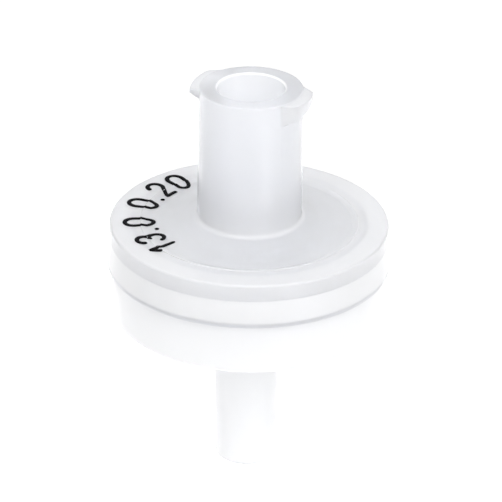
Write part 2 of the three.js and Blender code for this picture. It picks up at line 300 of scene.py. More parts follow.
def new_tree(name, inputs):
    """A Geometry Nodes tree with its named inputs and one geometry output"""
    tree = bpy.data.node_groups.new(name, "GeometryNodeTree")
    tree.interface.new_socket("Geometry", in_out="OUTPUT", socket_type="NodeSocketGeometry")
    for label, kind in inputs.items():
        tree.interface.new_socket(label, in_out="INPUT", socket_type=kind)
    source = tree.nodes.new("NodeGroupInput")
    return tree, {label: source.outputs[label] for label in inputs}


def add_node(tree, kind, inputs=None, **settings):
    """A node whose inputs are given as values or as the sockets that feed them"""
    node = tree.nodes.new(kind)
    for name, value in settings.items():
        setattr(node, name, value)
    for key, value in (inputs or {}).items():
        socket = node.inputs[key]
        if isinstance(value, bpy.types.NodeSocket):
            tree.links.new(value, socket)
        else:
            socket.default_value = value
    return node


def maths(tree, operation, *values):
    """The result of a Math node"""
    return add_node(tree, "ShaderNodeMath", dict(enumerate(values)), operation=operation).outputs[0]


def merged(tree, operation, *values):
    """Several values taken together two by two, such as their product or the greatest of them"""
    result = values[0]
    for value in values[1:]:
        result = maths(tree, operation, result, value)
    return result


def finish_tree(tree, geometry, material):
    """Every tree ends by making its instances real and giving them their material"""
    real = add_node(tree, "GeometryNodeRealizeInstances", {"Geometry": geometry})
    coated = add_node(tree, "GeometryNodeSetMaterial",
                      {"Geometry": real.outputs["Geometry"], "Material": material})
    target = tree.nodes.new("NodeGroupOutput")
    tree.links.new(coated.outputs["Geometry"], target.inputs["Geometry"])
    return tree


def turning_tree():
    """Turns a flat closed outline about the flow axis"""
    tree, given = new_tree("Turned Moulding", {
        "Outline": "NodeSocketGeometry",
        "Sides": "NodeSocketInt",
        "Path Radius": "NodeSocketFloat",
        "Material": "NodeSocketMaterial",
    })
    outline = add_node(tree, "GeometryNodeMeshToCurve", {"Mesh": given["Outline"]})
    path = add_node(tree, "GeometryNodeCurvePrimitiveCircle",
                    {"Resolution": given["Sides"], "Radius": given["Path Radius"]})
    turned = add_node(tree, "GeometryNodeCurveToMesh",
                      {"Curve": path.outputs["Curve"], "Profile Curve": outline.outputs["Curve"]})
    return finish_tree(tree, turned.outputs["Mesh"], given["Material"])


def spokes_tree():
    """Straight bars that point away from the flow axis, evenly spaced"""
    tree, given = new_tree("Spokes Around The Axis", {
        "Count": "NodeSocketInt",
        "Width": "NodeSocketFloat",
        "Inner Radius": "NodeSocketFloat",
        "Outer Radius": "NodeSocketFloat",
        "Bottom": "NodeSocketFloat",
        "Top": "NodeSocketFloat",
        "Material": "NodeSocketMaterial",
    })

    def halfway(first, second):
        return maths(tree, "MULTIPLY", maths(tree, "ADD", given[first], given[second]), 0.5)

    size = add_node(tree, "ShaderNodeCombineXYZ", {
        "X": maths(tree, "SUBTRACT", given["Outer Radius"], given["Inner Radius"]),
        "Y": given["Width"],
        "Z": maths(tree, "SUBTRACT", given["Top"], given["Bottom"]),
    })
    middle = add_node(tree, "ShaderNodeCombineXYZ", {
        "X": halfway("Outer Radius", "Inner Radius"),
        "Z": halfway("Top", "Bottom"),
    })
    bar = add_node(tree, "GeometryNodeMeshCube", {"Size": size.outputs[0]})
    placed = add_node(tree, "GeometryNodeTransform",
                      {"Geometry": bar.outputs["Mesh"], "Translation": middle.outputs[0]})
    points = add_node(tree, "GeometryNodePoints", {"Count": given["Count"]})
    number = add_node(tree, "GeometryNodeInputIndex")
    turn = maths(tree, "MULTIPLY", number.outputs[0], maths(tree, "DIVIDE", math.tau, given["Count"]))
    rotation = add_node(tree, "ShaderNodeCombineXYZ", {"Z": turn})
    copies = add_node(tree, "GeometryNodeInstanceOnPoints", {
        "Points": points.outputs["Points"],
        "Instance": placed.outputs["Geometry"],
        "Rotation": rotation.outputs[0],
    })
    return finish_tree(tree, copies.outputs["Instances"], given["Material"])


def print_tree():
    """Gives flat strokes width, thickness and round ends, bends them and lays them on the housing"""
    tree, given = new_tree("Printed Strokes", {
        "Strokes": "NodeSocketGeometry",
        "Housing": "NodeSocketObject",
        "Stroke Width": "NodeSocketFloat",
        "Ink": "NodeSocketFloat",
        "Step": "NodeSocketFloat",
        "End Sides": "NodeSocketInt",
        "Radius": "NodeSocketFloat",
        "Middle": "NodeSocketFloat",
        "Above Centre": "NodeSocketVector",
        "Material": "NodeSocketMaterial",
    })

    def vector_sum(first, second):
        return add_node(tree, "ShaderNodeVectorMath", {0: first, 1: second}, operation="ADD").outputs[0]

    line = add_node(tree, "GeometryNodeMeshToCurve", {"Mesh": given["Strokes"]}).outputs["Curve"]
    even = add_node(tree, "GeometryNodeResampleCurve", {"Curve": line, "Length": given["Step"]},
                    mode="LENGTH")
    level = add_node(tree, "GeometryNodeSetCurveNormal", {"Curve": even.outputs["Curve"]}, mode="Z_UP")
    section = add_node(tree, "GeometryNodeCurvePrimitiveQuadrilateral",
                       {"Width": given["Stroke Width"], "Height": given["Ink"]})
    ribbon = add_node(tree, "GeometryNodeCurveToMesh", {
        "Curve": level.outputs["Curve"],
        "Profile Curve": section.outputs["Curve"],
        "Fill Caps": True,
    })
    disc = add_node(tree, "GeometryNodeMeshCylinder", {
        "Vertices": given["End Sides"],
        "Radius": maths(tree, "MULTIPLY", given["Stroke Width"], 0.5),
        "Depth": given["Ink"],
    })
    ends = add_node(tree, "GeometryNodeInstanceOnPoints", {
        "Points": line,
        "Selection": add_node(tree, "GeometryNodeCurveEndpointSelection").outputs[0],
        "Instance": disc.outputs["Mesh"],
    })
    flat = add_node(tree, "GeometryNodeJoinGeometry")
    for part in (ribbon.outputs["Mesh"], ends.outputs["Instances"]):
        tree.links.new(part, flat.inputs["Geometry"])
    strokes = add_node(tree, "GeometryNodeRealizeInstances", {"Geometry": flat.outputs["Geometry"]})
    place = add_node(tree, "GeometryNodeInputPosition")
    along, across, high = add_node(tree, "ShaderNodeSeparateXYZ", {0: place.outputs[0]}).outputs
    out = maths(tree, "ADD", given["Radius"], across)
    turn = maths(tree, "SUBTRACT", given["Middle"], maths(tree, "DIVIDE", along, given["Radius"]))
    bent = add_node(tree, "ShaderNodeCombineXYZ", {
        "X": maths(tree, "MULTIPLY", out, maths(tree, "COSINE", turn)),
        "Y": maths(tree, "MULTIPLY", out, maths(tree, "SINE", turn)),
    })
    housing = add_node(tree, "GeometryNodeObjectInfo", {"Object": given["Housing"]})
    landed = add_node(tree, "GeometryNodeRaycast", {
        "Target Geometry": housing.outputs["Geometry"],
        "Source Position": vector_sum(bent.outputs[0], given["Above Centre"]),
        "Ray Direction": (0, 0, -1),
        "Ray Length": 1.0,
    })
    lift = add_node(tree, "ShaderNodeCombineXYZ", {"Z": high})
    laid = add_node(tree, "GeometryNodeSetPosition", {
        "Geometry": strokes.outputs["Geometry"],
        "Position": vector_sum(landed.outputs["Hit Position"], lift.outputs[0]),
    })
    return finish_tree(tree, laid.outputs["Geometry"], given["Material"])


def link(name, mesh):
    piece = bpy.data.objects.new(name, mesh)
    bpy.context.collection.objects.link(piece)
    return piece


def made_real(piece):
    """Replaces a piece's mesh by what its modifiers make of it, and removes them"""
    graph = bpy.context.evaluated_depsgraph_get()
    mesh = bpy.data.meshes.new_from_object(piece.evaluated_get(graph))
    piece.modifiers.clear()
    piece.data = mesh
    return piece


def grown(name, tree, values, mesh=None):
    """Runs a Geometry Nodes tree once and keeps its result as a plain mesh"""
    piece = link(name, mesh or bpy.data.meshes.new(name))
    modifier = piece.modifiers.new(tree.name, "NODES")
    modifier.node_group = tree
    identifiers = {item.name: item.identifier for item in tree.interface.items_tree
                   if item.item_type == "SOCKET" and item.in_out == "INPUT"}
    for label, value in values.items():
        modifier[identifiers[label]] = value
    made_real(piece)
    if not piece.data.polygons:
        raise RuntimeError(f"{tree.name} made nothing for {name}")
    return piece


def face_outwards(piece):
    """Merges doubled points and turns every face of a closed piece outwards"""
    work = bmesh.new()
    work.from_mesh(piece.data)
    bmesh.ops.remove_doubles(work, verts=work.verts, dist=MERGE_DISTANCE)
    bmesh.ops.recalc_face_normals(work, faces=work.faces)
    if work.calc_volume(signed=True) < 0:
        bmesh.ops.reverse_faces(work, faces=work.faces)
    work.to_mesh(piece.data)
    work.free()
    return piece


def combined(base, operation, *tools):
    """Joins the tools to the base, cuts them from it or keeps what they share"""
    for tool in tools:
        modifier = base.modifiers.new(operation.title(), "BOOLEAN")
        modifier.operation = operation
        modifier.solver = "MANIFOLD"
        modifier.object = tool
    made_real(base)
    for tool in tools:
        bpy.data.objects.remove(tool)
    if not base.data.polygons:
        raise RuntimeError(f"{operation} left nothing of {base.name}")
    return base


def shade(piece):
    """Smooth faces, with sharp edges kept sharp"""
    piece.data.polygons.foreach_set("use_smooth", [True] * len(piece.data.polygons))
    piece.data.set_sharp_from_angle(angle=SHARP_ANGLE)
    return piece


# -------------------- Turned forms --------------------

def rounded_corner(before, corner, after, rounding):
    """An arc tangent to both sides of a corner, with a point just outside each of its ends"""
    to_before, to_after = before - corner, after - corner
    room = min(to_before.length, to_after.length) * SIDE_SHARE
    to_before.normalize()
    to_after.normalize()
    half_angle = math.acos(max(-1, min(1, to_before.dot(to_after)))) / 2
    cut = min(rounding / math.tan(half_angle), room * ARC_SHARE)
    radius = cut * math.tan(half_angle)
    centre = corner + (to_before + to_after).normalized() * (cut / math.cos(half_angle))
    start, end = corner + to_before * cut, corner + to_after * cut
    steps = max(2, math.ceil((math.pi - 2 * half_angle) / ARC_STEP))
    support = min(cut * SUPPORT_SHARE, room - cut)
    points = [start + to_before * support]
    for step in range(steps + 1):
        ray = start.lerp(end, step / steps) - centre
        points.append(centre + ray.normalized() * radius)
    return [*points, end + to_after * support]


def closed_outline(corners):
    """Points of a closed outline from (radius, height) corners, each with an optional rounding"""
    spots = [Vector(corner[:2]) for corner in corners]
    points = []
    for i, corner in enumerate(corners):
        if len(corner) == 3 and corner[2]:
            points += rounded_corner(spots[i - 1], spots[i], spots[(i + 1) % len(spots)], corner[2])
        else:
            points.append(spots[i])
    return points


def turned(name, corners, sides, material, tree):
    """A closed solid turned about the flow axis"""
    path_radius = max(corner[0] for corner in corners) * 2
    outline = bpy.data.meshes.new(f"{name}_outline")
    points = closed_outline(corners)
    places = [(point.x - path_radius, -point.y, 0) for point in points]
    edges = [(i, (i + 1) % len(places)) for i in range(len(places))]
    outline.from_pydata(places, edges, [])
    values = {"Sides": sides, "Path Radius": path_radius, "Material": material}
    return face_outwards(grown(name, tree, values, outline))


def weld_radii(moulding):
    """Radii of the weld ring and of the spigot and socket round it"""
    inner = MEMBRANE_RADIUS + moulding.membrane_clearance
    outer = inner + moulding.weld_ring_width
    spigot = outer + moulding.weld_ring_margin
    return inner, outer, spigot, spigot + moulding.spigot_clearance


# -------------------- Materials --------------------

def new_material(name, settings):
    """A material whose Principled shader starts with the given values"""
    material = bpy.data.materials.new(name)
    material.use_nodes = True
    shader = material.node_tree.nodes["Principled BSDF"]
    for label, value in settings.items():
        shader.inputs[label].default_value = value
    return material, material.node_tree, shader


def place_on_piece(tree):
    return add_node(tree, "ShaderNodeTexCoord").outputs["Object"]


def noise(tree, size, detail=2):
    """Noise that keeps its place on the piece"""
    values = {"Vector": place_on_piece(tree), "Scale": 1 / size, "Detail": detail}
    return add_node(tree, "ShaderNodeTexNoise", values).outputs["Fac"]


def ramp(tree, value, start, end, low=0.0, high=1.0):
    """Runs from low at start to high at end, and stays level beyond them"""
    return add_node(tree, "ShaderNodeMapRange", {
        "Value": value, "From Min": start, "From Max": end, "To Min": low, "To Max": high,
    }).outputs["Result"]


def blend(tree, share, first, second):
    """A colour between two colours"""
    node = add_node(tree, "ShaderNodeMix", {"Factor": share}, data_type="RGBA")
    node.inputs[6].default_value = (*first, 1)
    node.inputs[7].default_value = (*second, 1)
    return node.outputs[2]


def painted_light_zones(tree, look, inlet, moulding):
    """How much light is painted into the plastic as a whiter, cloudier look, 1 at the most, and how
    clear its rim is
    """
    place = place_on_piece(tree)
    flat = add_node(tree, "ShaderNodeVectorMath", {0: place, 1: (1, 1, 0)}, operation="MULTIPLY")
    away = add_node(tree, "ShaderNodeVectorMath", {0: flat.outputs[0]}, operation="LENGTH")
    radius = away.outputs["Value"]
    height = add_node(tree, "ShaderNodeSeparateXYZ", {0: place}).outputs["Z"]

    def by_radius(start, end, low=0.0, high=1.0):
        return ramp(tree, radius, start, end, low, high)

    def by_height(start, end, low=0.0, high=1.0):
        return ramp(tree, height, start, end, low, high)

    def zone(*shares):
        return merged(tree, "MULTIPLY", *shares)

    edge = look.painted_light_edge
    band_z = RIM_Z - inlet.hub_height
    lip_z = band_z - inlet.lip_height
    hub_middle_z = band_z + inlet.hub_height / 2
    painted_light_end = SEAM_Z + look.painted_light_margin
    side_radius = inlet.lip_radius - inlet.lip_step - edge
    mouth_edge = inlet.mouth_radius + inlet.mouth_chamfer
    hub, fillet = inlet.hub_top_radius, inlet.foot_fillet
    weld_inner, weld_outer, _, socket = weld_radii(moulding)
    above_lip = by_height(lip_z - edge, lip_z)
    on_top = by_height(band_z - 2 * edge, band_z - edge)

    painted_light_shares = (
        # painted light on the skirt, made whiter and cloudier down to its plain edge
        zone(by_radius(side_radius - edge, side_radius), by_height(lip_z, lip_z - edge),
             by_height(painted_light_end - edge, painted_light_end + edge)),
        # painted light inside the Luer bore
        zone(by_radius(mouth_edge + edge / 4, mouth_edge),
             by_height(band_z, RIM_Z - inlet.socket_depth, 0, look.bore_painted_light)),
        # painted light on the thick foot of the hub, lightening the shade there
        zone(above_lip, by_radius(hub + fillet, hub + edge),
             by_height(band_z + look.foot_painted_light_height, band_z + fillet, 0, look.foot_painted_light)),
        # painted light on the plate round the hub, then over the weld ring and over the skirt's wall
        zone(on_top, by_radius(hub, hub + fillet, 0, look.plate_painted_light)),
        zone(above_lip, by_radius(weld_inner - 4 * edge, weld_inner + edge, 0, look.weld_painted_light),
             by_radius(weld_outer, socket, 1, 0)),
        zone(on_top, by_radius(socket, socket + 2 * edge, 0, look.wall_painted_light)),
        # painted light on the lip's upright side
        zone(above_lip, by_radius(side_radius - edge, side_radius, 0, look.lip_painted_light)),
        # painted light on the lock lugs
        zone(by_radius(hub, hub + edge, 0, look.lug_painted_light),
             by_height(hub_middle_z, hub_middle_z + edge)),
        # painted light over the lower housing, apart from its tip's very end
        zone(by_height(SEAM_Z, SEAM_Z - edge, 0, look.outlet_painted_light),
             by_height(TIP_Z + edge, TIP_Z + 2 * edge)),
    )
    rim = zone(by_radius(mouth_edge, mouth_edge + edge / 4), by_radius(hub, hub - edge),
               by_height(RIM_Z - 3 * edge, RIM_Z - edge, 0, look.rim_clarity))
    return merged(tree, "MAXIMUM", *painted_light_shares), rim


def polypropylene(look, inlet, moulding):
    """Milky natural polypropylene with the glossy, slightly uneven skin of a moulding, and light painted
    into set zones
    """
    material, tree, shader = new_material("Natural Polypropylene", {
        "IOR": look.index,
        "Subsurface Radius": (1, 1, 1),
        "Subsurface Scale": look.scatter_depth,
        "Coat Weight": look.skin,
        "Coat Roughness": look.skin_roughness,
    })
    painted_light, rim = painted_light_zones(tree, look, inlet, moulding)

    # Painted light: each value runs from the plain plastic's towards the whiter, cloudier one as the
    # painted light grows.
    def by_painted_light(plain, painted_bright):
        return ramp(tree, painted_light, 0, 1, plain, painted_bright)

    grain = noise(tree, look.grain_size, detail=3)
    spread = ramp(tree, grain, 0, 1, -look.roughness_spread, look.roughness_spread)
    bump = add_node(tree, "ShaderNodeBump", {"Distance": look.grain_height, "Height": grain})
    uneven = bump.outputs["Normal"]
    # Painted light: colour, roughness, scatter and clarity follow the zones where light is painted.
    for label, value in {
        "Base Color": blend(tree, painted_light, look.colour, look.painted_light_colour),
        "Roughness": maths(tree, "ADD", spread, by_painted_light(look.roughness, look.painted_light_roughness)),
        "Subsurface Weight": by_painted_light(look.scatter, look.painted_light_scatter),
        "Transmission Weight": maths(tree, "MAXIMUM", by_painted_light(look.clarity, look.painted_light_clarity), rim),
        "Normal": uneven,
        "Coat Normal": uneven,
    }.items():
        tree.links.new(value, shader.inputs[label])
    return material


def shared_plastic(settings):
    """Both housings are moulded from the same plastic"""
    return bpy.data.materials.get("Natural Polypropylene") or polypropylene(
        settings.look, settings.inlet, settings.moulding)


def membrane_finish(look):
    """Matte white polymer film with a faint mottle"""
    material, tree, shader = new_material("Microporous Membrane", {"Roughness": look.membrane_roughness})
    darker = [part * look.membrane_shade for part in look.membrane_colour]
    mottled = blend(tree, noise(tree, look.mottle_size), darker, look.membrane_colour)
    tree.links.new(mottled, shader.inputs["Base Color"])
    return material


def ink_finish(look):
    """Dull black printing ink, duller in some places than in others"""
    material, tree, shader = new_material("Printing Ink", {
        "Base Color": (*look.ink_colour, 1),
        "Specular IOR Level": look.ink_gloss,
    })
    patches = noise(tree, look.mottle_size)
    roughness = ramp(tree, patches, 0, 1, look.ink_roughness, look.ink_roughness_most)
    tree.links.new(roughness, shader.inputs["Roughness"])
    return material


# -------------------- Inlet housing --------------------

def chamber_roof(inlet, moulding):
    """The chamber's roof is a shallow cone: gives its height above any radius"""
    edge_radius = MEMBRANE_RADIUS - moulding.clamp_width
    edge_z = CLAMP_Z + inlet.chamber_depth

    def height(radius):
        return edge_z + inlet.chamber_rise * (edge_radius - radius) / (edge_radius - inlet.port_radius)

    return edge_radius, height


def inlet_outline(inlet, moulding):
    """Section of the inlet housing from the socket's edge, up over the hub and down the bore"""
    soft, fine = moulding.soft_edge, moulding.fine_edge
    weld_inner, weld_outer, _, socket = weld_radii(moulding)
    chamber_radius, roof = chamber_roof(inlet, moulding)
    band_z = RIM_Z - inlet.hub_height
    floor_z = band_z - inlet.step_depth
    lip_z = band_z - inlet.lip_height
    step_radius = inlet.lip_radius - inlet.band_width
    seam_z, clamp_z, land_z = (z + moulding.seat_gap for z in (SEAM_Z, CLAMP_Z, LAND_Z))
    mouth = inlet.mouth_radius
    socket_end = mouth - inlet.socket_depth * moulding.luer_taper / 2
    return [
        (socket, seam_z),
        (SEAM_RADIUS, seam_z, fine),
        (SEAM_RADIUS, seam_z + soft * 2, soft),
        (inlet.lip_radius - inlet.lip_step, lip_z),
        (inlet.lip_radius, lip_z, fine),
        (inlet.lip_radius, band_z, soft),
        (step_radius, band_z, fine / 2),
        (step_radius - inlet.bead_slope, band_z + inlet.bead_height, fine / 2),
        (step_radius - inlet.step_run, floor_z, soft),
        (inlet.cone_radius, floor_z, inlet.cone_rounding),
        (inlet.hub_top_radius + inlet.hub_draft, floor_z + inlet.cone_rise, inlet.foot_fillet),
        (inlet.hub_top_radius, RIM_Z, fine),
        (mouth + inlet.mouth_chamfer, RIM_Z),
        (mouth, RIM_Z - inlet.mouth_chamfer),
        (socket_end, RIM_Z - inlet.socket_depth, fine),
        (inlet.port_radius, RIM_Z - inlet.socket_depth, fine),
        (inlet.port_radius, roof(inlet.port_radius), soft),
        (chamber_radius, roof(chamber_radius), soft),
        (chamber_radius, clamp_z),
        (weld_inner, clamp_z),
        (weld_inner, land_z),
        (weld_outer, land_z),
        (weld_outer, CLAMP_Z + moulding.flash_trap),
        (socket, CLAMP_Z + moulding.flash_trap),
    ]


def rib_envelope(inlet, moulding):
    """Section that the ribs fill, just under the roof"""
    chamber_radius, roof = chamber_roof(inlet, moulding)
    inner, outer = inlet.rib_inner_radius, chamber_radius - inlet.rib_end_gap
    return [
        (inner, roof(inner) - inlet.rib_depth),
        (outer, roof(outer) - inlet.rib_depth),
        (outer, roof(outer) + moulding.embed),
        (inner, roof(inner) + moulding.embed),
    ]


def lug_section(inlet, moulding, along):
    """Section of a lock lug a share of the way along it, as (radius, turn back, height) corners"""
    heading = inlet.lug_start + (inlet.lug_end - inlet.lug_start) * along
    hub, inside = inlet.hub_top_radius, inlet.hub_top_radius - 2 * moulding.embed
    rise = min(1, (heading - inlet.lug_start) / inlet.lug_ramp)
    least = 0.02                     # the crest stays outside the hub where the lug starts
    crest = hub + (inlet.lug_radius - hub) * max(least, math.sin(rise * math.pi / 2))
    low = RIM_Z - inlet.lug_crest_low - inlet.lug_lead * (inlet.lug_end - heading) / math.tau
    top = RIM_Z - moulding.fine_edge / 2
    slant = inlet.lug_slant * along
    return heading, [
        (inside, 0, low - inlet.lug_root_drop),
        (hub, 0, low - inlet.lug_root_drop),
        (crest, slant, low),
        (crest, slant, top - inlet.lug_top_drop * along),
        (hub, 0, top),
        (inside, 0, top),
    ]


def lock_lug(inlet, moulding, turn, material):
    """One lug: rises gently out of the hub, follows its thread and ends steeply"""
    work = bmesh.new()
    rings = []
    for step in range(inlet.lug_steps + 1):
        heading, corners = lug_section(inlet, moulding, step / inlet.lug_steps)
        rings.append([work.verts.new((radius * math.cos(heading - back),
                                      radius * math.sin(heading - back), z))
                      for radius, back, z in corners])
    for first, second in zip(rings, rings[1:]):
        for i in range(len(first)):
            j = (i + 1) % len(first)
            work.faces.new((first[i], first[j], second[j], second[i]))
    work.faces.new(rings[0])
    work.faces.new(rings[-1][::-1])
    bmesh.ops.recalc_face_normals(work, faces=work.faces)
    edges = [edge for edge in work.edges if edge.calc_face_angle(0) > SHARP_ANGLE]
    bmesh.ops.bevel(work, geom=edges, offset=inlet.lug_edge, segments=3, affect="EDGES", profile=0.5,
                    clamp_overlap=True)
    bmesh.ops.transform(work, matrix=Matrix.Rotation(turn, 4, "Z"), verts=work.verts)
    mesh = bpy.data.meshes.new("lock_lug")
    work.to_mesh(mesh)
    work.free()
    mesh.materials.append(material)
    return face_outwards(link("lock_lug", mesh))


class FILTER_OT_inlet_housing(bpy.types.Operator):
    """Build the upper housing with its hub, lugs, printed band and distribution ribs"""

    bl_idname = "filter.inlet_housing"
    bl_label = "Inlet Housing"

    def execute(self, context):
        settings = context.scene.disc_filter
        inlet, moulding = settings.inlet, settings.moulding
        plastic = shared_plastic(settings)
        turning = turning_tree()
        housing = turned("inlet_housing_fine", inlet_outline(inlet, moulding), moulding.sides, plastic,
                         turning)
        envelope = turned("ribs", rib_envelope(inlet, moulding), moulding.sides, plastic, turning)
        bars = grown("rib_bars", spokes_tree(), {
            "Count": inlet.rib_count,
            "Width": inlet.rib_width,
            "Inner Radius": inlet.rib_inner_radius / 2,
            "Outer Radius": MEMBRANE_RADIUS,
            "Bottom": CLAMP_Z - inlet.plate_thickness,
            "Top": CLAMP_Z + inlet.plate_thickness,
            "Material": plastic,
        })
        ribs = combined(envelope, "INTERSECT", bars)
        lugs = [lock_lug(inlet, moulding, math.tau * i / inlet.lug_count, plastic)
                for i in range(inlet.lug_count)]
        combined(housing, "UNION", ribs, *lugs)
        shade(housing)
        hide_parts("inlet_housing")
        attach(housing, "root")
        return {"FINISHED"}


# -------------------- Membrane --------------------

class FILTER_OT_membrane(bpy.types.Operator):
    """Give the membrane its matte finish"""

    bl_idname = "filter.membrane"
    bl_label = "Membrane"

    def execute(self, context):
        finish = membrane_finish(context.scene.disc_filter.look)
        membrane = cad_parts["filter_membrane"]
        for slot in membrane.material_slots:
            slot.material = finish
        return {"FINISHED"}


# -------------------- Outlet housing --------------------

def outlet_outline(outlet, moulding):
    """Section of the outlet housing from the tip up the outside and down the drain"""
    soft, fine, root = moulding.soft_edge, moulding.fine_edge, outlet.root_fillet
    _, _, spigot, _ = weld_radii(moulding)
    base_z = SEAM_Z - outlet.disc_depth
    underside_z = LAND_Z - outlet.plate_thickness
    grid_floor_z = LAND_Z - outlet.grid_depth
    grid_radius = MEMBRANE_RADIUS - moulding.clamp_width - outlet.grid_edge_gap
    tube_root = outlet.tip_radius + (base_z - TIP_Z) * moulding.luer_taper / 2
    skirt_inner = OUTLET_TOP_RADIUS - outlet.skirt_wall
    return [
        (outlet.tip_bore_radius, TIP_Z, fine),
        (outlet.tip_radius, TIP_Z, soft),
        (tube_root, base_z, root),
        (outlet.collar_radius, base_z, soft),
        (outlet.collar_radius, underside_z, root),
        (skirt_inner, underside_z, root),
        (skirt_inner, base_z, fine),
        (OUTLET_TOP_RADIUS - outlet.wall_draft, base_z, soft * 2),
        (OUTLET_TOP_RADIUS, SEAM_Z),
        (spigot, SEAM_Z),
        (spigot, LAND_Z - moulding.seat_gap),
        (grid_radius, LAND_Z - moulding.seat_gap),
        (grid_radius, grid_floor_z),
        (outlet.funnel_radius, grid_floor_z),
        (outlet.tip_bore_radius + outlet.tip_bore_growth, grid_floor_z - outlet.funnel_depth, fine),
    ]


def grid_rings(outlet, moulding):
    """Sections of the rings that hold the membrane up"""
    limit = MEMBRANE_RADIUS - moulding.clamp_width - outlet.grid_edge_gap
    bottom = LAND_Z - outlet.grid_depth - moulding.embed
    inner = outlet.ring_first
    while inner + outlet.ring_width < limit:
        outer = inner + outlet.ring_width
        yield [
            (inner - outlet.ring_draft, bottom),
            (outer + outlet.ring_draft, bottom),
            (outer, LAND_Z - moulding.seat_gap),
            (inner, LAND_Z - moulding.seat_gap),
        ]
        inner += outlet.ring_pitch


class FILTER_OT_outlet_housing(bpy.types.Operator):
    """Build the lower housing with its support grid, skirt and slip tip"""

    bl_idname = "filter.outlet_housing"
    bl_label = "Outlet Housing"

    def execute(self, context):
        settings = context.scene.disc_filter
        outlet, moulding = settings.outlet, settings.moulding
        plastic = shared_plastic(settings)
        turning = turning_tree()
        housing = turned("outlet_housing_fine", outlet_outline(outlet, moulding), moulding.sides,
                         plastic, turning)
        rings = [turned("grid_ring", section, moulding.sides, plastic, turning)
                 for section in grid_rings(outlet, moulding)]
        combined(housing, "UNION", *rings)
        grid_radius = MEMBRANE_RADIUS - moulding.clamp_width - outlet.grid_edge_gap
        cuts = grown("gutters", spokes_tree(), {
            "Count": outlet.gutter_count,
            "Width": outlet.gutter_width,
            "Inner Radius": outlet.tip_bore_radius / 2,
            "Outer Radius": grid_radius - outlet.grid_edge_gap,
            "Bottom": LAND_Z - outlet.grid_depth - outlet.gutter_extra_depth,
            "Top": LAND_Z + moulding.embed,
            "Material": plastic,
        })
        combined(housing, "DIFFERENCE", cuts)
        shade(housing)
        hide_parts("outlet_housing")
        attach(housing, "root")
        return {"FINISHED"}


# -------------------- Print --------------------

def arc_points(centre, size, start, end, steps=24):
    """Points along part of an ellipse, in degrees anticlockwise from the right"""
    return [(centre[0] + size[0] * math.cos(math.radians(start + (end - start) * i / steps)),
             centre[1] + size[1] * math.sin(math.radians(start + (end - start) * i / steps)))
            for i in range(steps + 1)]


def numeral(sign, point):
    """Strokes of a numeral in a box one wide and one high, and the width that it takes up"""
    if sign == "0":
        upper = arc_points((0.5, 0.65), (0.5, 0.35), 0, 180)
        lower = arc_points((0.5, 0.35), (0.5, 0.35), 180, 360)
        return [[*upper, *lower[:-1], upper[0]]], 1
    if sign == "1":
        return [[(0.05, 0.78), (0.45, 1.0), (0.45, 0.0)]], 0.6
    if sign == "2":
        bow = arc_points((0.5, 0.71), (0.46, 0.29), 165, -35)
        return [[*bow, (0.02, 0.0), (1.0, 0.0)]], 1
    if sign == "3":
        upper = arc_points((0.46, 0.76), (0.42, 0.24), 160, -90)
        lower = arc_points((0.46, 0.27), (0.5, 0.27), 90, -160)
        return [upper, lower], 1
    if sign == ".":
        return [[(0.0, 0.0), (point, 0.0)]], point
    raise ValueError(f"no strokes for {sign!r}")


def strokes_mesh(printed):
    """All strokes of the line of print, flat, centred on the origin and read from left to right"""
    pen = 0.0
    lines = []
    clear = printed.width - printed.stroke
    tall = printed.height - printed.stroke
    for sign in printed.numerals:
        if sign == " ":
            pen += printed.width * printed.word_space
            continue
        strokes, share = numeral(sign, (printed.point - printed.stroke) / clear)
        for stroke in strokes:
            lines.append([(pen + x * clear, (y - 0.5) * tall) for x, y in stroke])
        pen += share * clear + printed.spacing + printed.stroke
    total = pen - printed.spacing - printed.stroke
    places, edges = [], []
    for line in lines:
        first = len(places)
        closed = line[0] == line[-1]
        spots = line[:-1] if closed else line
        places += [(x - total / 2, y, 0) for x, y in spots]
        edges += [(first + i, first + i + 1) for i in range(len(spots) - 1)]
        if closed:
            edges.append((first + len(spots) - 1, first))
    mesh = bpy.data.meshes.new("strokes")
    mesh.from_pydata(places, edges, [])
    return mesh


class FILTER_OT_numerals(bpy.types.Operator):
    """Print plain numerals on the band"""

    bl_idname = "filter.numerals"
    bl_label = "Numerals"

    def execute(self, context):
        settings = context.scene.disc_filter
        printed = settings.printed
        ink = ink_finish(settings.look)
        numerals = grown("print_numerals", print_tree(), {
            "Housing": bpy.data.objects["inlet_housing_fine"],
            "Stroke Width": printed.stroke,
            "Ink": printed.ink * 2,
            "Step": printed.stroke / 5,
            "End Sides": printed.end_sides,
            "Radius": printed.radius,
            "Middle": printed.middle,
            "Above Centre": (printed.offset_x, printed.offset_y, RIM_Z),
            "Material": ink,
        }, strokes_mesh(printed))
        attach(numerals, "root")
        return {"FINISHED"}


# -------------------- Studio --------------------

def aim_camera(studio):
    data = bpy.data.cameras.new("camera")
    data.lens = studio.lens
    data.sensor_width = studio.sensor
    data.clip_start = 1 * MM
    data.clip_end = 10000 * MM
    camera = link("camera", data)
    target = Vector((studio.aim_side, 0, RIM_Z - studio.aim_depth))
    back = Vector((0, -math.cos(studio.elevation), math.sin(studio.elevation)))
    camera.location = target + back * studio.distance
    camera.rotation_mode = "QUATERNION"
    camera.rotation_quaternion = (-back).to_track_quat("-Z", "Y") @ Quaternion((0, 0, 1), studio.roll)
    bpy.context.scene.camera = camera


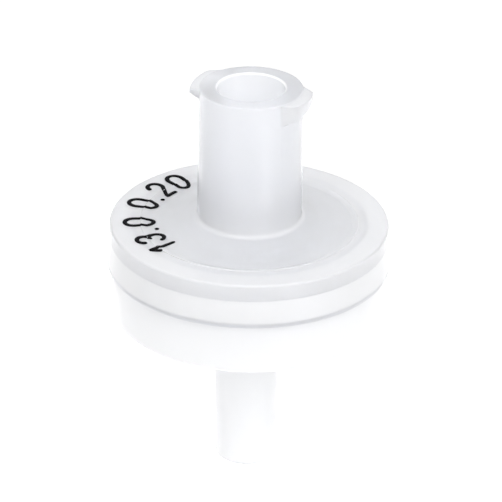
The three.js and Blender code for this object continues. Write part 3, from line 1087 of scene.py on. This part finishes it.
def softbox(name, heading, elevation, distance, size, brightness):
    """An area lamp that faces the filter from a direction in degrees, with its width and height

    A brightness of 1 is that of a white wall in full light.
    """
    data = bpy.data.lights.new(name, "AREA")
    data.shape = "RECTANGLE"
    data.size, data.size_y = size
    data.energy = brightness * math.pi * size[0] * size[1]
    lamp = link(name, data)
    lamp.visible_camera = False
    heading, elevation = math.radians(heading), math.radians(elevation)
    outward = Vector((math.cos(heading) * math.cos(elevation), math.sin(heading) * math.cos(elevation),
                      math.sin(elevation)))
    centre = Vector((0, 0, (RIM_Z + TIP_Z) / 2))
    lamp.location = centre + outward * distance
    lamp.rotation_mode = "QUATERNION"
    lamp.rotation_quaternion = (-outward).to_track_quat("-Z", "Y")
    return lamp


def seen_rays(tree):
    """1 for rays that show the surroundings: to the camera, off gloss and through clear plastic"""
    path = add_node(tree, "ShaderNodeLightPath").outputs
    return merged(tree, "MAXIMUM", path["Is Glossy Ray"], path["Is Transmission Ray"],
                  path["Is Camera Ray"])


def pale_floor(studio):
    """A white floor below the tip that keeps the filter's shadow"""
    half = studio.floor_size / 2
    z = TIP_Z - studio.floor_drop
    mesh = bpy.data.meshes.new("floor")
    mesh.from_pydata([(-half, -half, z), (half, -half, z), (half, half, z), (-half, half, z)], [],
                     [(0, 1, 2, 3)])
    floor = link("floor", mesh)
    material, tree, shader = new_material("White Floor", {
        "Base Color": (studio.floor_shade, studio.floor_shade, studio.floor_shade, 1),
        "Roughness": studio.floor_roughness,
        "Emission Color": (1, 1, 1, 1),
    })
    away = add_node(tree, "ShaderNodeVectorMath", {0: place_on_piece(tree)}, operation="LENGTH")
    glow = ramp(tree, away.outputs["Value"], studio.floor_near, studio.floor_far, studio.floor_glow,
                studio.far_glow)
    tree.links.new(maths(tree, "MULTIPLY", seen_rays(tree), glow), shader.inputs["Emission Strength"])
    mesh.materials.append(material)


def white_world(studio):
    """White where it is seen, a plain soft grey where it lights"""
    world = bpy.data.worlds.new("Studio")
    bpy.context.scene.world = world
    world.use_nodes = True
    tree = world.node_tree
    background = tree.nodes["Background"]
    background.inputs["Color"].default_value = (1, 1, 1, 1)
    strength = ramp(tree, seen_rays(tree), 0, 1, studio.surround, studio.seen)
    tree.links.new(strength, background.inputs["Strength"])


class FILTER_OT_studio(bpy.types.Operator):
    """Set up the camera, the lamps, the floor and the white surroundings"""

    bl_idname = "filter.studio"
    bl_label = "Studio"

    def execute(self, context):
        studio = context.scene.disc_filter.studio
        context.scene.view_settings.view_transform = "Standard"
        cycles = context.scene.cycles
        cycles.max_bounces = cycles.transmission_bounces = 24
        cycles.diffuse_bounces = 12
        aim_camera(studio)
        far = studio.light_distance
        # each with its heading, elevation, distance, width and height, and brightness
        softbox("back_lamp", 90, 20, far, (0.3, 0.2), studio.back_light)
        softbox("front_lamp", -90, 8, far, (0.3, 0.12), studio.front_light)
        softbox("high_lamp", -90, 50, far, (0.25, 0.2), studio.high_light)
        softbox("left_lamp", 180, 15, far, (0.2, 0.15), studio.left_light)
        softbox("right_lamp", 0, 45, far, (0.15, 0.15), studio.right_light)
        softbox("top_lamp", 150, 80, far, (0.12, 0.12), studio.top_light)
        softbox("right_strip", -55, 35, far, (0.034, 0.06), studio.strip_light)
        softbox("left_strip", -113, 35, far, (0.02, 0.06), studio.strip_light)
        softbox("low_strip", -55, -19, studio.low_distance, (0.018, 0.012), studio.low_light)
        softbox("under_lamp", 0, -90, studio.under_distance, (0.2, 0.2), studio.under_light)
        pale_floor(studio)
        white_world(studio)
        return {"FINISHED"}


# -------------------- Add-on --------------------

class FilterSettings(bpy.types.PropertyGroup):
    """All settings of the filter and its studio"""

    moulding: PointerProperty(name="Moulding", description="Shared sizes", type=MouldingSizes)
    inlet: PointerProperty(name="Inlet", description="Inlet housing", type=InletSizes)
    outlet: PointerProperty(name="Outlet", description="Outlet housing", type=OutletSizes)
    printed: PointerProperty(name="Print", description="Printed numerals", type=PrintSettings)
    look: PointerProperty(name="Look", description="Materials", type=PlasticLook)
    studio: PointerProperty(name="Studio", description="Camera and light", type=StudioSettings)


class FILTER_PT_parts(bpy.types.Panel):
    """Lists the steps that build the filter"""

    bl_idname = "FILTER_PT_parts"
    bl_label = "Syringe Filter"
    bl_space_type = "VIEW_3D"
    bl_region_type = "UI"
    bl_category = "Filter"

    def draw(self, context):
        column = self.layout.column()
        for step in STEPS:
            column.operator(step.bl_idname)
        settings = context.scene.disc_filter
        for part in settings.__annotations__:
            group = getattr(settings, part)
            box = self.layout.box()
            for name in group.__annotations__:
                box.prop(group, name)


STEPS = (
    FILTER_OT_inlet_housing,
    FILTER_OT_outlet_housing,
    FILTER_OT_membrane,
    FILTER_OT_numerals,
    FILTER_OT_studio,
)
CLASSES = (MouldingSizes, InletSizes, OutletSizes, PrintSettings, PlasticLook, StudioSettings,
           FilterSettings, *STEPS, FILTER_PT_parts)


def register():
    for item in CLASSES:
        bpy.utils.register_class(item)
    bpy.types.Scene.disc_filter = PointerProperty(type=FilterSettings)


def unregister():
    del bpy.types.Scene.disc_filter
    for item in reversed(CLASSES):
        bpy.utils.unregister_class(item)


def main():
    register()
    bpy.ops.filter.inlet_housing()
    bpy.ops.filter.outlet_housing()
    bpy.ops.filter.membrane()
    bpy.ops.filter.numerals()
    bpy.ops.filter.studio()


if __name__ == "__main__":
    main()
